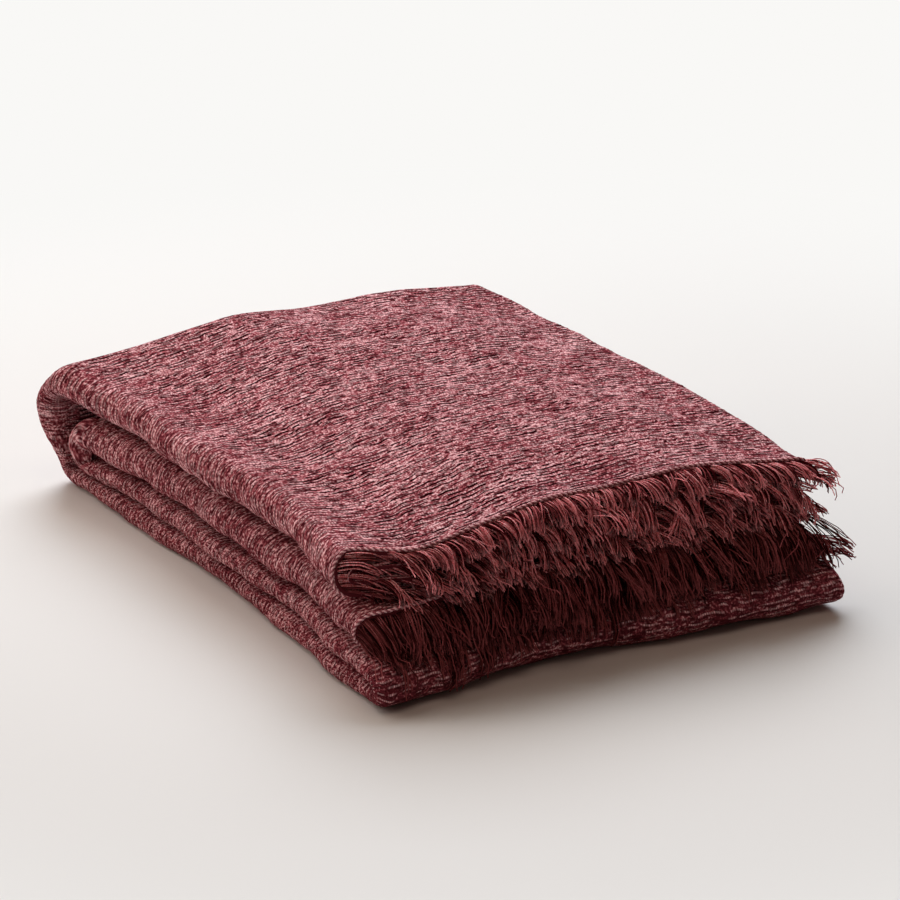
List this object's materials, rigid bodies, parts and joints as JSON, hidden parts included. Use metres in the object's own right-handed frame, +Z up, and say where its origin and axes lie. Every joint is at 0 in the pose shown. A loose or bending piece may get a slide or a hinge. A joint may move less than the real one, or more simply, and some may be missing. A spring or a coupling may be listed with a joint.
{
  "type": "folded throw blanket",
  "caption": "Woven throw blanket with short fringed ends, folded into a flat stack; lies on a surface and is unfolded for warmth or as a cover.",
  "frame": {"origin": "centre of the footprint, on the surface that the folded throw lies on", "axes": "+Z up; -Y towards the fringed ends; +X along the fringed edge, from the soft left folds to the right folds"},
  "size_m": [0.3386, 0.455, 0.1002],
  "materials": {
    "chenille_cloth": "soft heathered chenille rows, matt with a low sheen",
    "warp_fringe": "loose twisted warp yarns, matt"
  },
  "bodies": {
    "root": {"throw_cloth": "chenille_cloth", "fringe_outer_end": "warp_fringe", "fringe_inner_end": "warp_fringe"}
  },
  "joints": []
}
